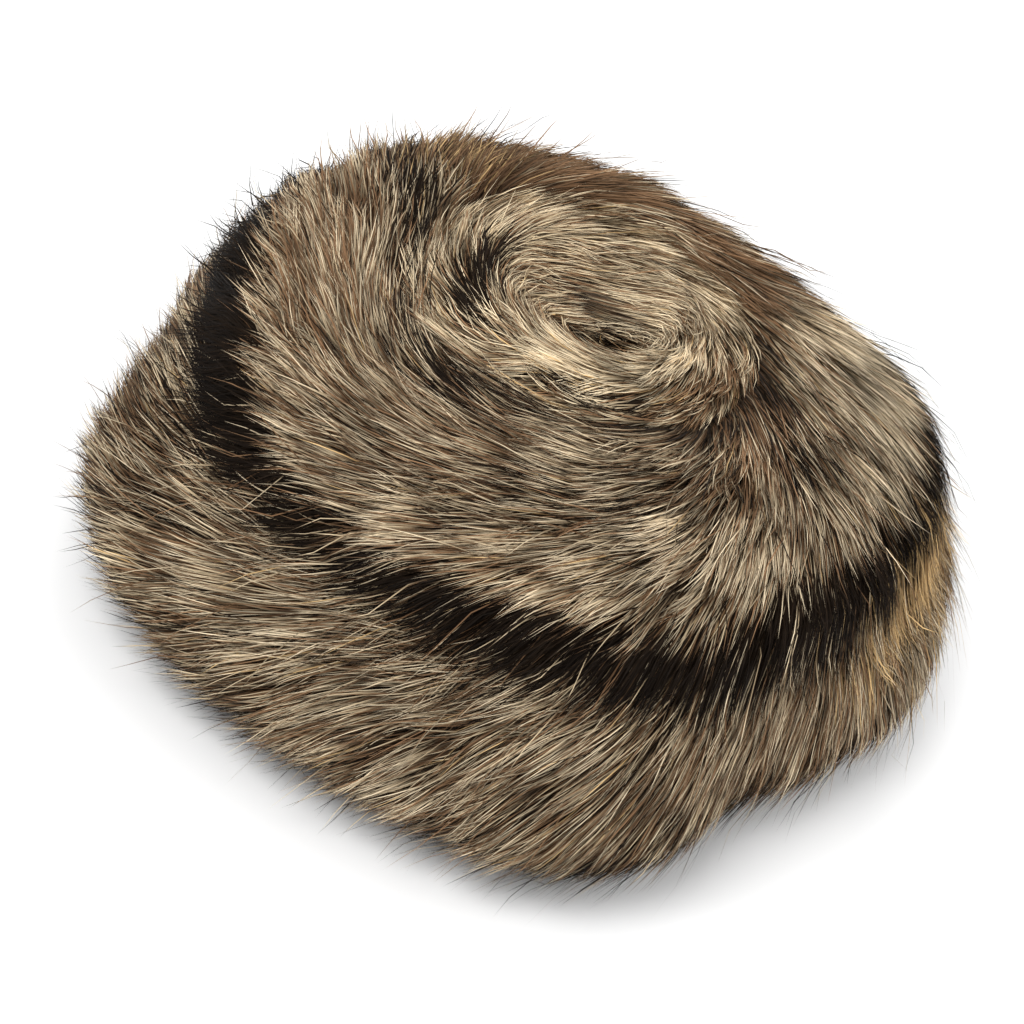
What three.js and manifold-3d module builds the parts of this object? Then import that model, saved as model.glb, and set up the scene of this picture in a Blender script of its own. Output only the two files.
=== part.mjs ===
// A round fur hat made from one long pelt: a deep turned-up cuff goes round the head, a puffy roll of
// pelt lies on it as the side of the crown, and the pelt's end turns round itself as a whorl on top.
// Millimetres, +Z up. The origin is the middle of the hat's outline on the surface it rests on, and
// the hat's front is at -Y. Angles turn from +X towards +Y.
import * as THREE from 'three';
import { ParametricGeometry } from 'three/addons/geometries/ParametricGeometry.js';
import { mergeVertices } from 'three/addons/utils/BufferGeometryUtils.js';
import Module from 'manifold-3d';

const wasm = await Module();
wasm.setup();

// The hollow for the head: an oval opening under a dome.
const headWidth = 170;
const headLength = 200;
const headDepth = 98;
const domePower = 3.5;

// The fur over it, from the opening's long half to the fur's mean surface.
const cuffFur = 46;
const crownSideFur = 22;
const crownTopFur = 20;
const cuffHeight = 82;
const cornerReach = 3.2;

// The whorl on top, a little behind the hat's middle.
const whorlRadius = 54;
const whorlRight = 4;
const whorlBack = 21;

// The crown sinks towards the back right: the way, and the share of its height that it loses there.
const fallTowards = 60;
const crownFall = 0.27;
const fullSinkAt = 0.6;

// The locks, in which the guard hair clumps. The relief is the height of a lock over the fur mass.
const lockLength = 50;
const lockWidth = 23;
const lockRelief = 5;
const lockRoot = 4;
const lockTip = 0.5;
const lockDroop = 3;
const seamGap = 0.3;

// The finishes' colours.
const cuffColor = 0x8d7c62;
const crownColor = 0x85745a;
const whorlColor = 0x9c8d70;

const cuffRadius = headLength / 2 + cuffFur;
const crownRadius = headLength / 2 + crownSideFur;
const hatHeight = headDepth + crownTopFur;
const crownCorner = 0.27 * cornerReach;
const fallAngle = THREE.MathUtils.degToRad(fallTowards);
const fallWay = new THREE.Vector2(Math.cos(fallAngle), Math.sin(fallAngle));
const lockClearance = lockRelief / 2 + seamGap;
const lockSunk = lockRoot + lockRelief / 2;
const meshTolerance = 0.05;
const grooveShare = 0.93;
const seamShare = 0.85;
const grooveLevel = grooveShare * cuffHeight;
const seamLevel = seamShare * cuffHeight;

// Swells and hollows of the plan outline: where, how wide, and the reach as a share of the radius.
const cuffSwells = [
  { at: -62, half: 20, reach: -0.085 },
  { at: -70, half: 11, reach: -0.035 },
  { at: -128, half: 22, reach: -0.022 },
  { at: 165, half: 30, reach: -0.004 },
  { at: 126, half: 20, reach: 0.045 },
  { at: 152, half: 14, reach: -0.04 },
  { at: -92, half: 16, reach: 0.013 },
  { at: 90, half: 25, reach: 0.002 },
];
const crownSwells = [
  { at: 110, half: 24, reach: 0.02 },
  { at: 44, half: 30, reach: -0.05 },
  { at: 33, half: 20, reach: -0.06 },
  { at: -22, half: 22, reach: 0.02 },
  { at: 168, half: 30, reach: -0.055 },
];
// Sections through the fur's mean surface, from the lowest row to the highest. A row lies along a
// span of the plan, at a share of it, and is up by a share of the cuff's height, or of the crown's.
const cuffRows = [
  { span: 'cuff', share: 0.8, up: 0 },
  { span: 'cuff', share: 0.835, up: 0.015 },
  { span: 'cuff', share: 0.885, up: 0.1 },
  { span: 'cuff', share: 0.95, up: 0.22 },
  { span: 'cuff', share: 1, up: 0.375 },
  { span: 'cuff', share: 0.985, up: 0.565 },
  { span: 'shelf', share: 0.63, up: 0.74 },
  { span: 'shelf', share: 0.27, up: 0.9 },
  { span: 'rim', share: 0.98, up: 0.985 },
  { span: 'rim', share: 0.92, up: 0.96 },
  { span: 'rim', share: 0.86, up: grooveShare },
];
const crownRows = [
  { span: 'rim', share: 0.86, up: 0 },
  { span: 'rim', share: 0.93, up: 0.16 },
  { span: 'rim', share: 0.98, up: 0.26 },
  { span: 'rim', share: 1, up: 0.4 },
  { span: 'rim', share: 0.975, up: 0.57 },
  { span: 'rim', share: 0.91, up: 0.74 },
  { span: 'top', share: 0.72, up: 0.88 },
  { span: 'top', share: 0.52, up: 0.98 },
  { span: 'top', share: 0.32, up: 0.985 },
  { span: 'top', share: 0.14, up: 0.92 },
  { span: 'top', share: 0, up: 0.82 },
];
const whorlRows = [
  { span: 'whorl', share: 1, up: 0.82 },
  { span: 'whorl', share: 0.88, up: 0.94 },
  { span: 'whorl', share: 0.74, up: 1.05 },
  { span: 'whorl', share: 0.58, up: 1.08 },
  { span: 'whorl', share: 0.4, up: 1.02 },
  { span: 'whorl', share: 0.2, up: 0.965 },
  { span: 'whorl', share: 0, up: 0.945 },
];

// Rings of locks on each piece: the row share where they root, how many, how far they fall from the
// way round, in degrees, and their size as a share of the named lock.
const cuffLocks = [
  { from: 0.28, count: 13, fall: 8, size: 1.05 },
  { from: 0.42, count: 13, fall: 16, size: 1.15 },
  { from: 0.57, count: 12, fall: 22, size: 1.1 },
  { from: 0.7, count: 11, fall: 22, size: 1 },
];
const crownLocks = [
  { from: 0.34, count: 12, fall: 30, size: 0.85 },
  { from: 0.52, count: 11, fall: 26, size: 1.05 },
  { from: 0.72, count: 8, fall: 16, size: 1.05 },
];
const whorlLocks = [
  { from: 0.3, count: 7, fall: 4, size: 0.8 },
  { from: 0.68, count: 4, fall: 12, size: 0.65 },
];

const rows = { cuff: cuffRows, crown: crownRows, whorl: whorlRows };

// Where each piece's scatter of locks starts.
const lockSeeds = { cuff: 13, crown: 23, whorl: 37 };

// How finely the solids are cut: steps round the hat, up each piece's fur side and up the hollow's
// wall, and round and along a lock.
const ringSteps = 40;
const rowSteps = { cuff: 11, crown: 12, whorl: 8 };
const hollowShares = [0.66, 0.33, 0];
const lockSides = 4;
const lockSteps = 3;

// The sum of a table's swells at an angle.
function swell(table, angle) {
  let sum = 0;
  for (const { at, half, reach } of table) {
    const off = THREE.MathUtils.euclideanModulo(THREE.MathUtils.radToDeg(angle) - at + 180, 360) - 180;
    sum += reach * Math.exp(-((off / half) ** 2));
  }
  return sum;
}

// The named outlines of the plan at an angle, as points of the plan.
function outline(name, angle) {
  const way = new THREE.Vector2(Math.cos(angle), Math.sin(angle));
  const corner = Math.cos(4 * angle);
  const behind = new THREE.Vector2(whorlRight, whorlBack);
  switch (name) {
    case 'middle':
      return new THREE.Vector2();
    case 'whorlMiddle':
      return behind;
    case 'whorl':
      return way.multiplyScalar(whorlRadius).add(behind);
    case 'whorlSeat':
      return way.multiplyScalar(whorlRadius + seamGap).add(behind);
    case 'insideWhorl':
      return way.multiplyScalar(whorlRadius - lockClearance).add(behind);
    case 'outsideWhorl':
      return way.multiplyScalar(whorlRadius + lockClearance).add(behind);
    case 'head':
      return way.multiplyScalar(1 / Math.hypot(way.x / (headWidth / 2), way.y / (headLength / 2)));
    case 'cuff':
      return way.multiplyScalar(cuffRadius * (1 + swell(cuffSwells, angle)) + cornerReach * corner);
    case 'rim':
      return way.multiplyScalar(crownRadius * (1 + swell(crownSwells, angle)) + crownCorner * corner);
    default:
      throw new Error(`the plan has no outline named ${name}`);
  }
}

const spans = {
  head: ['middle', 'head'],
  cuff: ['middle', 'cuff'],
  shelf: ['rim', 'cuff'],
  rim: ['middle', 'rim'],
  top: ['whorlSeat', 'rim'],
  whorl: ['whorlMiddle', 'whorl'],
};

// A place in the plan: a share of the way along a span.
function inPlan(span, share, angle) {
  const [inner, outer] = spans[span];
  return outline(inner, angle).lerp(outline(outer, angle), share);
}

// The hollow's dome over a place in the plan.
function underDome(place) {
  const out = Math.min(1, Math.hypot(place.x / (headWidth / 2), place.y / (headLength / 2)));
  return new THREE.Vector3(place.x, place.y, headDepth * (1 - out ** domePower) ** (1 / domePower));
}

// The hollow's wall at a height.
function hollowWall(height, angle) {
  const share = (1 - (height / headDepth) ** domePower) ** (1 / domePower);
  const place = inPlan('head', share, angle);
  return new THREE.Vector3(place.x, place.y, height);
}

// One row's point of the fur's mean surface. The crown sinks the more the further a place lies
// towards its low side, and its lowest rows sink less, so that they stay on the cuff.
function rowPoint(name, row, angle) {
  const place = inPlan(row.span, row.share, angle);
  if (name === 'cuff') return new THREE.Vector3(place.x, place.y, row.up * cuffHeight);
  const back = (1 + place.dot(fallWay) / crownRadius) / 2;
  const sink = 1 - crownFall * Math.min(1, row.up / fullSinkAt) * back ** 2;
  return new THREE.Vector3(place.x, place.y, grooveLevel + (hatHeight - grooveLevel) * row.up * sink);
}

// A point of the fur's mean surface, on a smooth curve through the rows.
function skin(name, angle, share) {
  const table = rows[name];
  const last = table.length - 1;
  const at = THREE.MathUtils.clamp(share, 0, 1) * last;
  const low = Math.min(last - 1, Math.floor(at));
  const t = at - low;
  const near = [low - 1, low, low + 1, low + 2].map((index) => THREE.MathUtils.clamp(index, 0, last));
  const [a, b, c, d] = near.map((index) => rowPoint(name, table[index], angle));
  const slope = c.clone().sub(a);
  const bend = a.clone().multiplyScalar(2).addScaledVector(b, -5).addScaledVector(c, 4).sub(d);
  const twist = b.clone().multiplyScalar(3).sub(a).addScaledVector(c, -3).add(d);
  return b.addScaledVector(slope, t / 2).addScaledVector(bend, t * t / 2).addScaledVector(twist, t ** 3 / 2);
}

// The surface's directions at a point, and how far a unit of angle or share goes there: clockwise
// round the hat, up along the rows, and outwards.
function skinFrame(name, angle, share) {
  const step = 0.01;
  const low = Math.max(0, share - step);
  const high = Math.min(1, share + step);
  const round = skin(name, angle - step, share).sub(skin(name, angle + step, share));
  const up = skin(name, angle, high).sub(skin(name, angle, low));
  const roundRate = round.length() / (2 * step);
  const upRate = up.length() / (high - low);
  round.normalize();
  up.normalize();
  const out = new THREE.Vector3().crossVectors(up, round).normalize();
  return { round, up, out, roundRate, upRate };
}

// The fur side of a piece's section at an angle, from its lowest row up. It is moved out by grow,
// and keeps its hem and seams where fade is true.
function furSide(name, angle, grow, fade) {
  const points = [];
  const steps = rowSteps[name];
  for (let step = 0; step <= steps; step += 1) {
    const share = step / steps;
    const point = skin(name, angle, share);
    const atEnd = step === 0 || (step === steps && name !== 'whorl');
    if (!(fade && atEnd) && share < 1) {
      point.addScaledVector(skinFrame(name, angle, share).out, grow);
    }
    point.z = Math.max(point.z, 0);
    points.push(point);
  }
  return points;
}

// The closed sections. A clearance section is grown by the locks' reach, at its seams too. The order
// of the points makes both faces of a seam split the same way into triangles, so the gap is even.
const sections = {
  cuff: (angle, grow, clear) => {
    const hollow = [1, ...hollowShares].map((share) => hollowWall(share * seamLevel, angle));
    const fur = furSide('cuff', angle, grow, !clear);
    const lift = clear ? lockClearance : 0;
    hollow[0].z += lift;
    fur[fur.length - 1].z += lift;
    return [...hollow, ...fur];
  },
  crown: (angle, grow, clear) => {
    const fur = furSide('crown', angle, grow, !clear);
    const lift = clear ? -lockClearance : seamGap;
    const seat = outline(clear ? 'insideWhorl' : 'whorlSeat', angle);
    const wall = hollowWall(seamLevel, angle);
    wall.z += lift;
    fur[0].z += lift;
    fur[fur.length - 1].setX(seat.x).setY(seat.y);
    const ceiling = [0, ...hollowShares.slice(0, 2).reverse()].map((share) => (
      underDome(seat.clone().lerp(new THREE.Vector2(wall.x, wall.y), share))
    ));
    return [...fur, ...ceiling, wall].reverse();
  },
  whorl: (angle, grow, clear) => {
    const edge = outline(clear ? 'outsideWhorl' : 'whorl', angle);
    const fur = furSide('whorl', angle, grow, !clear);
    fur[0].setX(edge.x).setY(edge.y);
    const ceiling = [0, 0.5, 1].map((share) => underDome(outline('whorlMiddle', angle).lerp(edge, share)));
    return [...ceiling, ...fur];
  },
};

// A solid from a closed section carried round the hat. The whorl's section starts and ends on its
// middle line instead of closing on itself.
function ringSolid(name, grow, clear) {
  const rings = [];
  for (let step = 0; step < ringSteps; step += 1) {
    rings.push(sections[name](2 * Math.PI * step / ringSteps, grow, clear));
  }
  const count = rings[0].length;
  const stacks = name === 'whorl' ? count - 1 : count;
  const place = (u, v, target) => {
    const ring = rings[Math.round(u * ringSteps) % ringSteps];
    target.copy(ring[Math.round(v * stacks) % count]);
  };
  return solid(new ParametricGeometry(place, ringSteps, stacks));
}

// A closed geometry as a solid with its faces outwards. Doubles are merged, and faces that have no
// area are left out.
function solid(geometry) {
  geometry.deleteAttribute('normal');
  geometry.deleteAttribute('uv');
  const merged = mergeVertices(geometry, 0.001);
  const points = merged.attributes.position;
  const corner = (index) => new THREE.Vector3().fromBufferAttribute(points, index);
  const faces = [];
  let volume = 0;
  for (let i = 0; i < merged.index.count; i += 3) {
    const [a, b, c] = [0, 1, 2].map((k) => merged.index.getX(i + k));
    if (a === b || b === c || c === a) continue;
    faces.push([a, b, c]);
    volume += corner(a).dot(corner(b).cross(corner(c)));
  }
  if (volume < 0) faces.forEach((face) => face.reverse());
  return new wasm.Manifold(new wasm.Mesh({
    numProp: 3,
    vertProperties: Float32Array.from(points.array),
    triVerts: Uint32Array.from(faces.flat()),
  }));
}

// Evenly spread numbers from 0 to 1, the same on each run.
function scatterFrom(seed) {
  let state = seed;
  return () => {
    state = (state * 1103515245 + 12345) % 2147483648;
    return state / 2147483648;
  };
}

// The line that a lock follows: from its root it runs clockwise round the hat and falls towards the
// hem, and past the piece's lowest row it goes straight on.
function lockSpine(name, angle, share, fall, length) {
  const spine = [];
  const stride = length / lockSteps;
  const turn = THREE.MathUtils.degToRad(fall);
  let at = { angle, share };
  for (let step = 0; step <= lockSteps; step += 1) {
    const frame = skinFrame(name, at.angle, at.share);
    const way = frame.round.clone().multiplyScalar(Math.cos(turn)).addScaledVector(frame.up, -Math.sin(turn));
    const before = spine[spine.length - 1];
    if (at.share > 0.04 || !before) {
      spine.push({ point: skin(name, at.angle, at.share), way, out: frame.out });
    } else {
      const point = before.point.clone().addScaledVector(before.way, stride);
      spine.push({ point, way: before.way, out: before.out });
    }
    at = {
      angle: at.angle - stride * Math.cos(turn) / frame.roundRate,
      share: Math.max(0, at.share - stride * Math.sin(turn) / frame.upRate),
    };
  }
  return spine;
}

// A lock: a cone drawn out along its spine, broadest a little past the root, thin at the tip, and
// flat against the fur. Its root and its two sides are sunk, and its tip stands a little proud.
function lock(spine, width) {
  const cone = new THREE.ConeGeometry(1, 1, lockSides, lockSteps);
  const points = cone.attributes.position;
  const vertex = new THREE.Vector3();
  for (let i = 0; i < points.count; i += 1) {
    vertex.fromBufferAttribute(points, i);
    const along = vertex.y + 0.5;
    const { point, way, out } = spine[Math.round(along * lockSteps)];
    const taper = Math.max(1e-6, 1 - along);
    const breadth = (0.55 + 1.6 * along) * taper;
    const side = new THREE.Vector3().crossVectors(way, out);
    const half = lockRoot * Math.min(1, 2.2 * taper);
    const droop = lockDroop * Math.abs(vertex.x / taper) * Math.min(1, 3 * taper);
    const rise = lockTip * along - lockSunk * (1 - along) ** 2 - droop;
    const placed = point.clone()
      .addScaledVector(side, vertex.x / taper * breadth * width / 2)
      .addScaledVector(out, rise + vertex.z / taper * half);
    placed.z = Math.max(placed.z, seamGap);
    points.setXYZ(i, placed.x, placed.y, placed.z);
  }
  return solid(cone);
}

// The rings of locks of one piece.
function locksOf(name, table, seed) {
  const scatter = scatterFrom(seed);
  const locks = [];
  table.forEach(({ from, count, fall, size }, ring) => {
    for (let index = 0; index < count; index += 1) {
      const angle = 2 * Math.PI * (index + 0.5 * (ring % 2) + 0.4 * scatter()) / count;
      const share = from + 0.05 * (scatter() - 0.5);
      const scale = size * (0.85 + 0.3 * scatter());
      const spine = lockSpine(name, angle, share, fall + 10 * (scatter() - 0.5), lockLength * scale);
      locks.push(lock(spine, lockWidth * scale));
    }
  });
  return wasm.Manifold.union(locks);
}

// A piece: its fur mass over the hollow, with its locks fused on. The locks are cut where they
// would enter a neighbour, and what a cut leaves loose is dropped.
function furPiece(name, table, neighbours) {
  let locks = locksOf(name, table, lockSeeds[name]);
  neighbours.forEach((neighbour) => {
    locks = locks.subtract(ringSolid(neighbour, lockClearance, true));
  });
  const fused = ringSolid(name, -lockRelief / 2, false).add(locks);
  const parts = fused.asOriginal().simplify(meshTolerance).decompose();
  return parts.sort((a, b) => b.volume() - a.volume())[0];
}

// A named mesh from a solid, with its finish.
function named(name, piece, color) {
  const { vertProperties, triVerts } = piece.getMesh();
  const geometry = new THREE.BufferGeometry();
  geometry.setAttribute('position', new THREE.BufferAttribute(vertProperties, 3));
  geometry.setIndex(new THREE.BufferAttribute(triVerts, 1));
  geometry.computeVertexNormals();
  const mesh = new THREE.Mesh(geometry, new THREE.MeshStandardMaterial({ color, roughness: 0.8, metalness: 0 }));
  mesh.name = name;
  return mesh;
}

const hat = new THREE.Group();
hat.add(named('cuff', furPiece('cuff', cuffLocks, ['crown']), cuffColor));
hat.add(named('crown_side', furPiece('crown', crownLocks, ['cuff', 'whorl']), crownColor));
hat.add(named('crown_tip', furPiece('whorl', whorlLocks, ['crown']), whorlColor));

export default hat;
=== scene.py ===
# %% [markdown]
# # A raccoon fur hat
# The hat is one long raccoon pelt. A deep cuff goes round the head, a puffy roll lies on it as the
# side of the crown, and the pelt's end turns round itself as a whorl on top. The fur lies clockwise,
# seen from above, and falls outwards to the hem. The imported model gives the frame: three solids that
# stand for the pelt with its fur. They keep the size, and the fur made here grows on the same surface.

import bmesh
import bpy
import numpy as np
from mathutils import Matrix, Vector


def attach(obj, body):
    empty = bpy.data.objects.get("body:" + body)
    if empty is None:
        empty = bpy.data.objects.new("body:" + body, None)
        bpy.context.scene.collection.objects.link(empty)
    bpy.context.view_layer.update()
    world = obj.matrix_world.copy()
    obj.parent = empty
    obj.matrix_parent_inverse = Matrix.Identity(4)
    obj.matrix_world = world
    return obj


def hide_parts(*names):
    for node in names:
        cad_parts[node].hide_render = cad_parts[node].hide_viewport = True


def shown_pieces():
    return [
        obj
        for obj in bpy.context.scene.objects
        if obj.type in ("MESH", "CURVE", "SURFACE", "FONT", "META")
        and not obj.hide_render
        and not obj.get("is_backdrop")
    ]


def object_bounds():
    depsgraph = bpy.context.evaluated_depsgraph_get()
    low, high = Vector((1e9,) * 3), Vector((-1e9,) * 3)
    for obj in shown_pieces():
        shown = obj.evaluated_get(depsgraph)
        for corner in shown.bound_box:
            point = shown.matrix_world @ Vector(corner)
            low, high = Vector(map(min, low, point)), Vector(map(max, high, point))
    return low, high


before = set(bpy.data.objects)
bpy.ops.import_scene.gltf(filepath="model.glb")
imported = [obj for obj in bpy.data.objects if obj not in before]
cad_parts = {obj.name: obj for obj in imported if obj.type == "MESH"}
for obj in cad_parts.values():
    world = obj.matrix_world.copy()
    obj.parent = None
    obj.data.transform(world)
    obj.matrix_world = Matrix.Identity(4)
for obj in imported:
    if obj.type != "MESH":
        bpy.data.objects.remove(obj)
cad_low, cad_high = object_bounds()
print("packed hat, in mm:", [round(1000 * side, 1) for side in cad_high - cad_low])

# %% [markdown]
# ## The sizes
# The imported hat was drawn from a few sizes: the oval hollow for the head, the fur's depth over it,
# and the heights of cuff and crown. The same sizes are used here, in metres, so that the fur grows
# where the solids are.

# %% Name the hat's sizes
HEAD_WIDTH = 0.170
HEAD_LENGTH = 0.200
HEAD_DEPTH = 0.098
DOME_POWER = 3.5
CUFF_RADIUS = HEAD_LENGTH / 2 + 0.046
CROWN_RADIUS = HEAD_LENGTH / 2 + 0.022
HAT_HEIGHT = HEAD_DEPTH + 0.020
CUFF_HEIGHT = 0.082
GROOVE_LEVEL = 0.93 * CUFF_HEIGHT
SEAM_LEVEL = 0.85 * CUFF_HEIGHT
WHORL_RADIUS = 0.054
WHORL_MIDDLE = np.array([0.004, 0.021])
SINKS_TOWARDS = np.array([0.5, 0.866])
CROWN_SINKS = 0.27
print("hollow", HEAD_WIDTH, "x", HEAD_LENGTH, "m, cuff radius", CUFF_RADIUS, "m")

# %% [markdown]
# ## The fur's surface
# Each piece of the hat is a ring. Its surface is a function of two parameters: the angle round the
# hat, and the share of the way along the section, from the lowest row to the highest. A short table
# gives the section's rows, and a smooth curve runs through them. Swells and hollows of the outline,
# which the soft pelt has, are bell curves round the hat. It could be sculpted by hand, but a formula
# gives the place and the tilt of every hair.

# %% The outline of the hat, seen from above
# The columns are degrees round the hat, half width in degrees, and reach as a share of the radius.
CUFF_SWELLS = [
    (-62, 20, -0.085), (-70, 11, -0.035), (-128, 22, -0.022), (165, 30, -0.004),
    (126, 20, 0.045), (152, 14, -0.04), (-92, 16, 0.013), (90, 25, 0.002),
]
CROWN_SWELLS = [(110, 24, 0.02), (44, 30, -0.05), (33, 20, -0.06), (-22, 22, 0.02), (168, 30, -0.055)]


def away(around, at):
    """Degrees from a named angle, between -180 and 180."""
    return (np.degrees(around) - at + 180) % 360 - 180


def swell(around, table):
    """The sum of bell curves: reach times exp of minus the square of (degrees away / half width)."""
    return sum(reach * np.exp(-((away(around, at) / half) ** 2)) for at, half, reach in table)


def oval_share(place):
    """How far out a place is, as a share of the hollow's oval: 1 on the oval."""
    return np.hypot(place[..., 0] / (HEAD_WIDTH / 2), place[..., 1] / (HEAD_LENGTH / 2))


def outlines(around):
    """The named outlines of the plan at each angle: a radius times the unit vector of that angle."""
    way = np.stack([np.cos(around), np.sin(around)], -1)
    corner = np.cos(4 * around)
    head = 1 / oval_share(way)
    cuff = CUFF_RADIUS * (1 + 0.022 * corner + swell(around, CUFF_SWELLS))
    rim = CROWN_RADIUS * (1 + 0.007 * corner + swell(around, CROWN_SWELLS))
    return {
        "middle": 0 * way,
        "head": head[..., None] * way,
        "cuff": cuff[..., None] * way,
        "rim": rim[..., None] * way,
        "whorl_middle": WHORL_MIDDLE + 0 * way,
        "whorl": WHORL_MIDDLE + WHORL_RADIUS * way,
    }


print("cuff's outline at the right, in m:", outlines(0.0)["cuff"].round(3))


# %% The rows of each piece's section
SPANS = {
    "cuff": ("middle", "cuff"),
    "shelf": ("rim", "cuff"),
    "seam": ("middle", "rim"),
    "roll": ("middle", "rim"),
    "top": ("whorl", "rim"),
    "whorl": ("whorl_middle", "whorl"),
}
CROWN_SPANS = ("roll", "top", "whorl")
# The columns are a span, the share of the way across it, and the share of the height.
CUFF_ROWS = [
    ("cuff", 0.80, 0.0), ("cuff", 0.835, 0.015), ("cuff", 0.885, 0.10), ("cuff", 0.95, 0.22),
    ("cuff", 1.0, 0.375), ("cuff", 0.985, 0.565), ("shelf", 0.63, 0.74), ("shelf", 0.27, 0.90),
    ("seam", 0.98, 0.985), ("seam", 0.92, 0.96), ("seam", 0.86, 0.93),
]
CROWN_ROWS = [
    ("roll", 0.86, 0.0), ("roll", 0.93, 0.16), ("roll", 0.98, 0.26), ("roll", 1.0, 0.40),
    ("roll", 0.975, 0.57), ("roll", 0.91, 0.74), ("top", 0.72, 0.88), ("top", 0.52, 0.98),
    ("top", 0.32, 0.985), ("top", 0.14, 0.92), ("top", 0.0, 0.82),
]
WHORL_ROWS = [
    ("whorl", 1.0, 0.82), ("whorl", 0.88, 0.94), ("whorl", 0.74, 1.05), ("whorl", 0.58, 1.08),
    ("whorl", 0.40, 1.02), ("whorl", 0.20, 0.965), ("whorl", 0.0, 0.945),
]

# Fur that is rooted on the crown hangs over the cuff, so it lies on a section of its own, which runs
# up the cuff's outer rows and goes on with the crown's from its widest row.
SECTIONS = {
    "cuff": CUFF_ROWS,
    "crown": CROWN_ROWS,
    "whorl": WHORL_ROWS,
    "overhang": CUFF_ROWS[:8] + CROWN_ROWS[3:],
}
print("rows in each section:", {name: len(rows) for name, rows in SECTIONS.items()})


# %% A point of the fur's mean surface
def fur_surface(section, around, along):
    """The point at an angle and a share of the section: a Catmull-Rom curve through its rows. Each
    lies a share of the way across a span of the plan, at a share of the cuff's or crown's height."""
    around, along = np.broadcast_arrays(around, along)
    plan = outlines(around)
    rows = []
    for span, share, up in SECTIONS[section]:
        inner, outer = (plan[name] for name in SPANS[span])
        place = inner + (outer - inner) * share
        height = 0 * around + CUFF_HEIGHT * up
        if span in CROWN_SPANS:
            back = (1 + place @ SINKS_TOWARDS / CROWN_RADIUS) / 2
            sink = 1 - CROWN_SINKS * min(1, up / 0.6) * back**2
            height = GROOVE_LEVEL + (HAT_HEIGHT - GROOVE_LEVEL) * up * sink
        rows.append(np.concatenate([place, height[..., None]], -1))
    rows = np.stack(rows, -2)
    last = rows.shape[-2] - 1
    at = np.clip(along, 0, 1) * last
    low = np.clip(np.floor(at).astype(int), 0, last - 1)
    t = (at - low)[..., None]

    def row(index):
        index = np.clip(index, 0, last)[..., None, None]
        return np.take_along_axis(rows, index + np.zeros((1, 3), int), -2)[..., 0, :]

    a, b, c, d = row(low - 1), row(low), row(low + 1), row(low + 2)
    bend = 2 * a - 5 * b + 4 * c - d
    twist = 3 * b - a - 3 * c + d
    return b + 0.5 * ((c - a) * t + bend * t**2 + twist * t**3)


def unit(vectors):
    """The vectors divided by their lengths."""
    return vectors / np.maximum(np.linalg.norm(vectors, axis=-1, keepdims=True), 1e-12)


def surface_frame(section, around, along):
    """The surface's point and three unit directions there, from central differences: clockwise round
    the hat, up along the section, and outwards, with the metres that a unit of angle or share goes."""
    step = 0.01
    low = np.clip(along - step, 0, 1)
    high = np.clip(along + step, 0, 1)
    clockwise = fur_surface(section, around - step, along) - fur_surface(section, around + step, along)
    up = fur_surface(section, around, high) - fur_surface(section, around, low)
    round_rate = np.linalg.norm(clockwise, axis=-1) / (2 * step)
    up_rate = np.linalg.norm(up, axis=-1) / (high - low)
    clockwise, up = unit(clockwise), unit(up)
    point = fur_surface(section, around, along)
    return point, clockwise, up, unit(np.cross(up, clockwise)), round_rate, up_rate


print("top of the whorl's ridge, in m:", fur_surface("whorl", np.array([0.5]), np.array([0.5])).round(3))

# %% [markdown]
# ## Numpy helpers
# Small helpers put arrays into Blender meshes. A pelt is a closed grid: one parameter goes round the
# hat, the other round the section. A field of hair is thousands of flat ribbons of a few faces each.


# %% Put arrays into a mesh
def add_object(name, data):
    """A new object in the scene, with the given mesh, light or camera."""
    thing = bpy.data.objects.new(name, data)
    bpy.context.scene.collection.objects.link(thing)
    return thing


def mesh_from_arrays(name, points, corners, sides):
    """A mesh from points, the corners of all its faces in a row, and each face's number of sides."""
    mesh = bpy.data.meshes.new(name)
    mesh.vertices.add(len(points))
    mesh.vertices.foreach_set("co", points.astype(np.float32).ravel())
    mesh.loops.add(len(corners))
    mesh.loops.foreach_set("vertex_index", corners.astype(np.int32))
    mesh.polygons.add(len(sides))
    starts = np.concatenate([[0], np.cumsum(sides)[:-1]])
    mesh.polygons.foreach_set("loop_start", starts.astype(np.int32))
    mesh.polygons.foreach_set("use_smooth", np.ones(len(sides), bool))
    mesh.update(calc_edges=True)
    return add_object(name, mesh)


def ring_mesh(name, points, closes):
    """A ring from a grid of points: the first index goes round the hat and closes, the second goes
    along the section, and closes too where closes is true. Doubled points at a pole are merged."""
    rounds, steps = points.shape[:2]
    i, j = np.meshgrid(np.arange(rounds), np.arange(steps if closes else steps - 1), indexing="ij")
    k, m = (i + 1) % rounds, (j + 1) % steps
    corners = np.stack([i * steps + j, k * steps + j, k * steps + m, i * steps + m], -1)
    piece = mesh_from_arrays(name, points.reshape(-1, 3), corners.ravel(), np.full(i.size, 4))
    shape = bmesh.new()
    shape.from_mesh(piece.data)
    bmesh.ops.remove_doubles(shape, verts=shape.verts, dist=1e-6)
    bmesh.ops.recalc_face_normals(shape, faces=shape.faces)
    shape.to_mesh(piece.data)
    shape.free()
    return piece


# %% [markdown]
# ## A mottle that every part can read
# Real fur is never even: whole patches are a little lighter, darker or longer. A sum of sine waves
# that run in different directions makes such patches from a point's place alone. A noise texture
# would only reach the shader, while these values also set how high and how bright a hair is.


# %% Make the mottle
def mottle(points, size, seed):
    """Values round 0, mostly between -1 and 1: a mean of sines of (place . direction / size + phase)."""
    scatter = np.random.default_rng(seed)
    directions = unit(scatter.normal(size=(7, 3))) * (2 * np.pi / size)
    phases = scatter.uniform(0, 2 * np.pi, 7)
    return np.sin(points @ directions.T + phases).sum(-1) / 2.6


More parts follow.
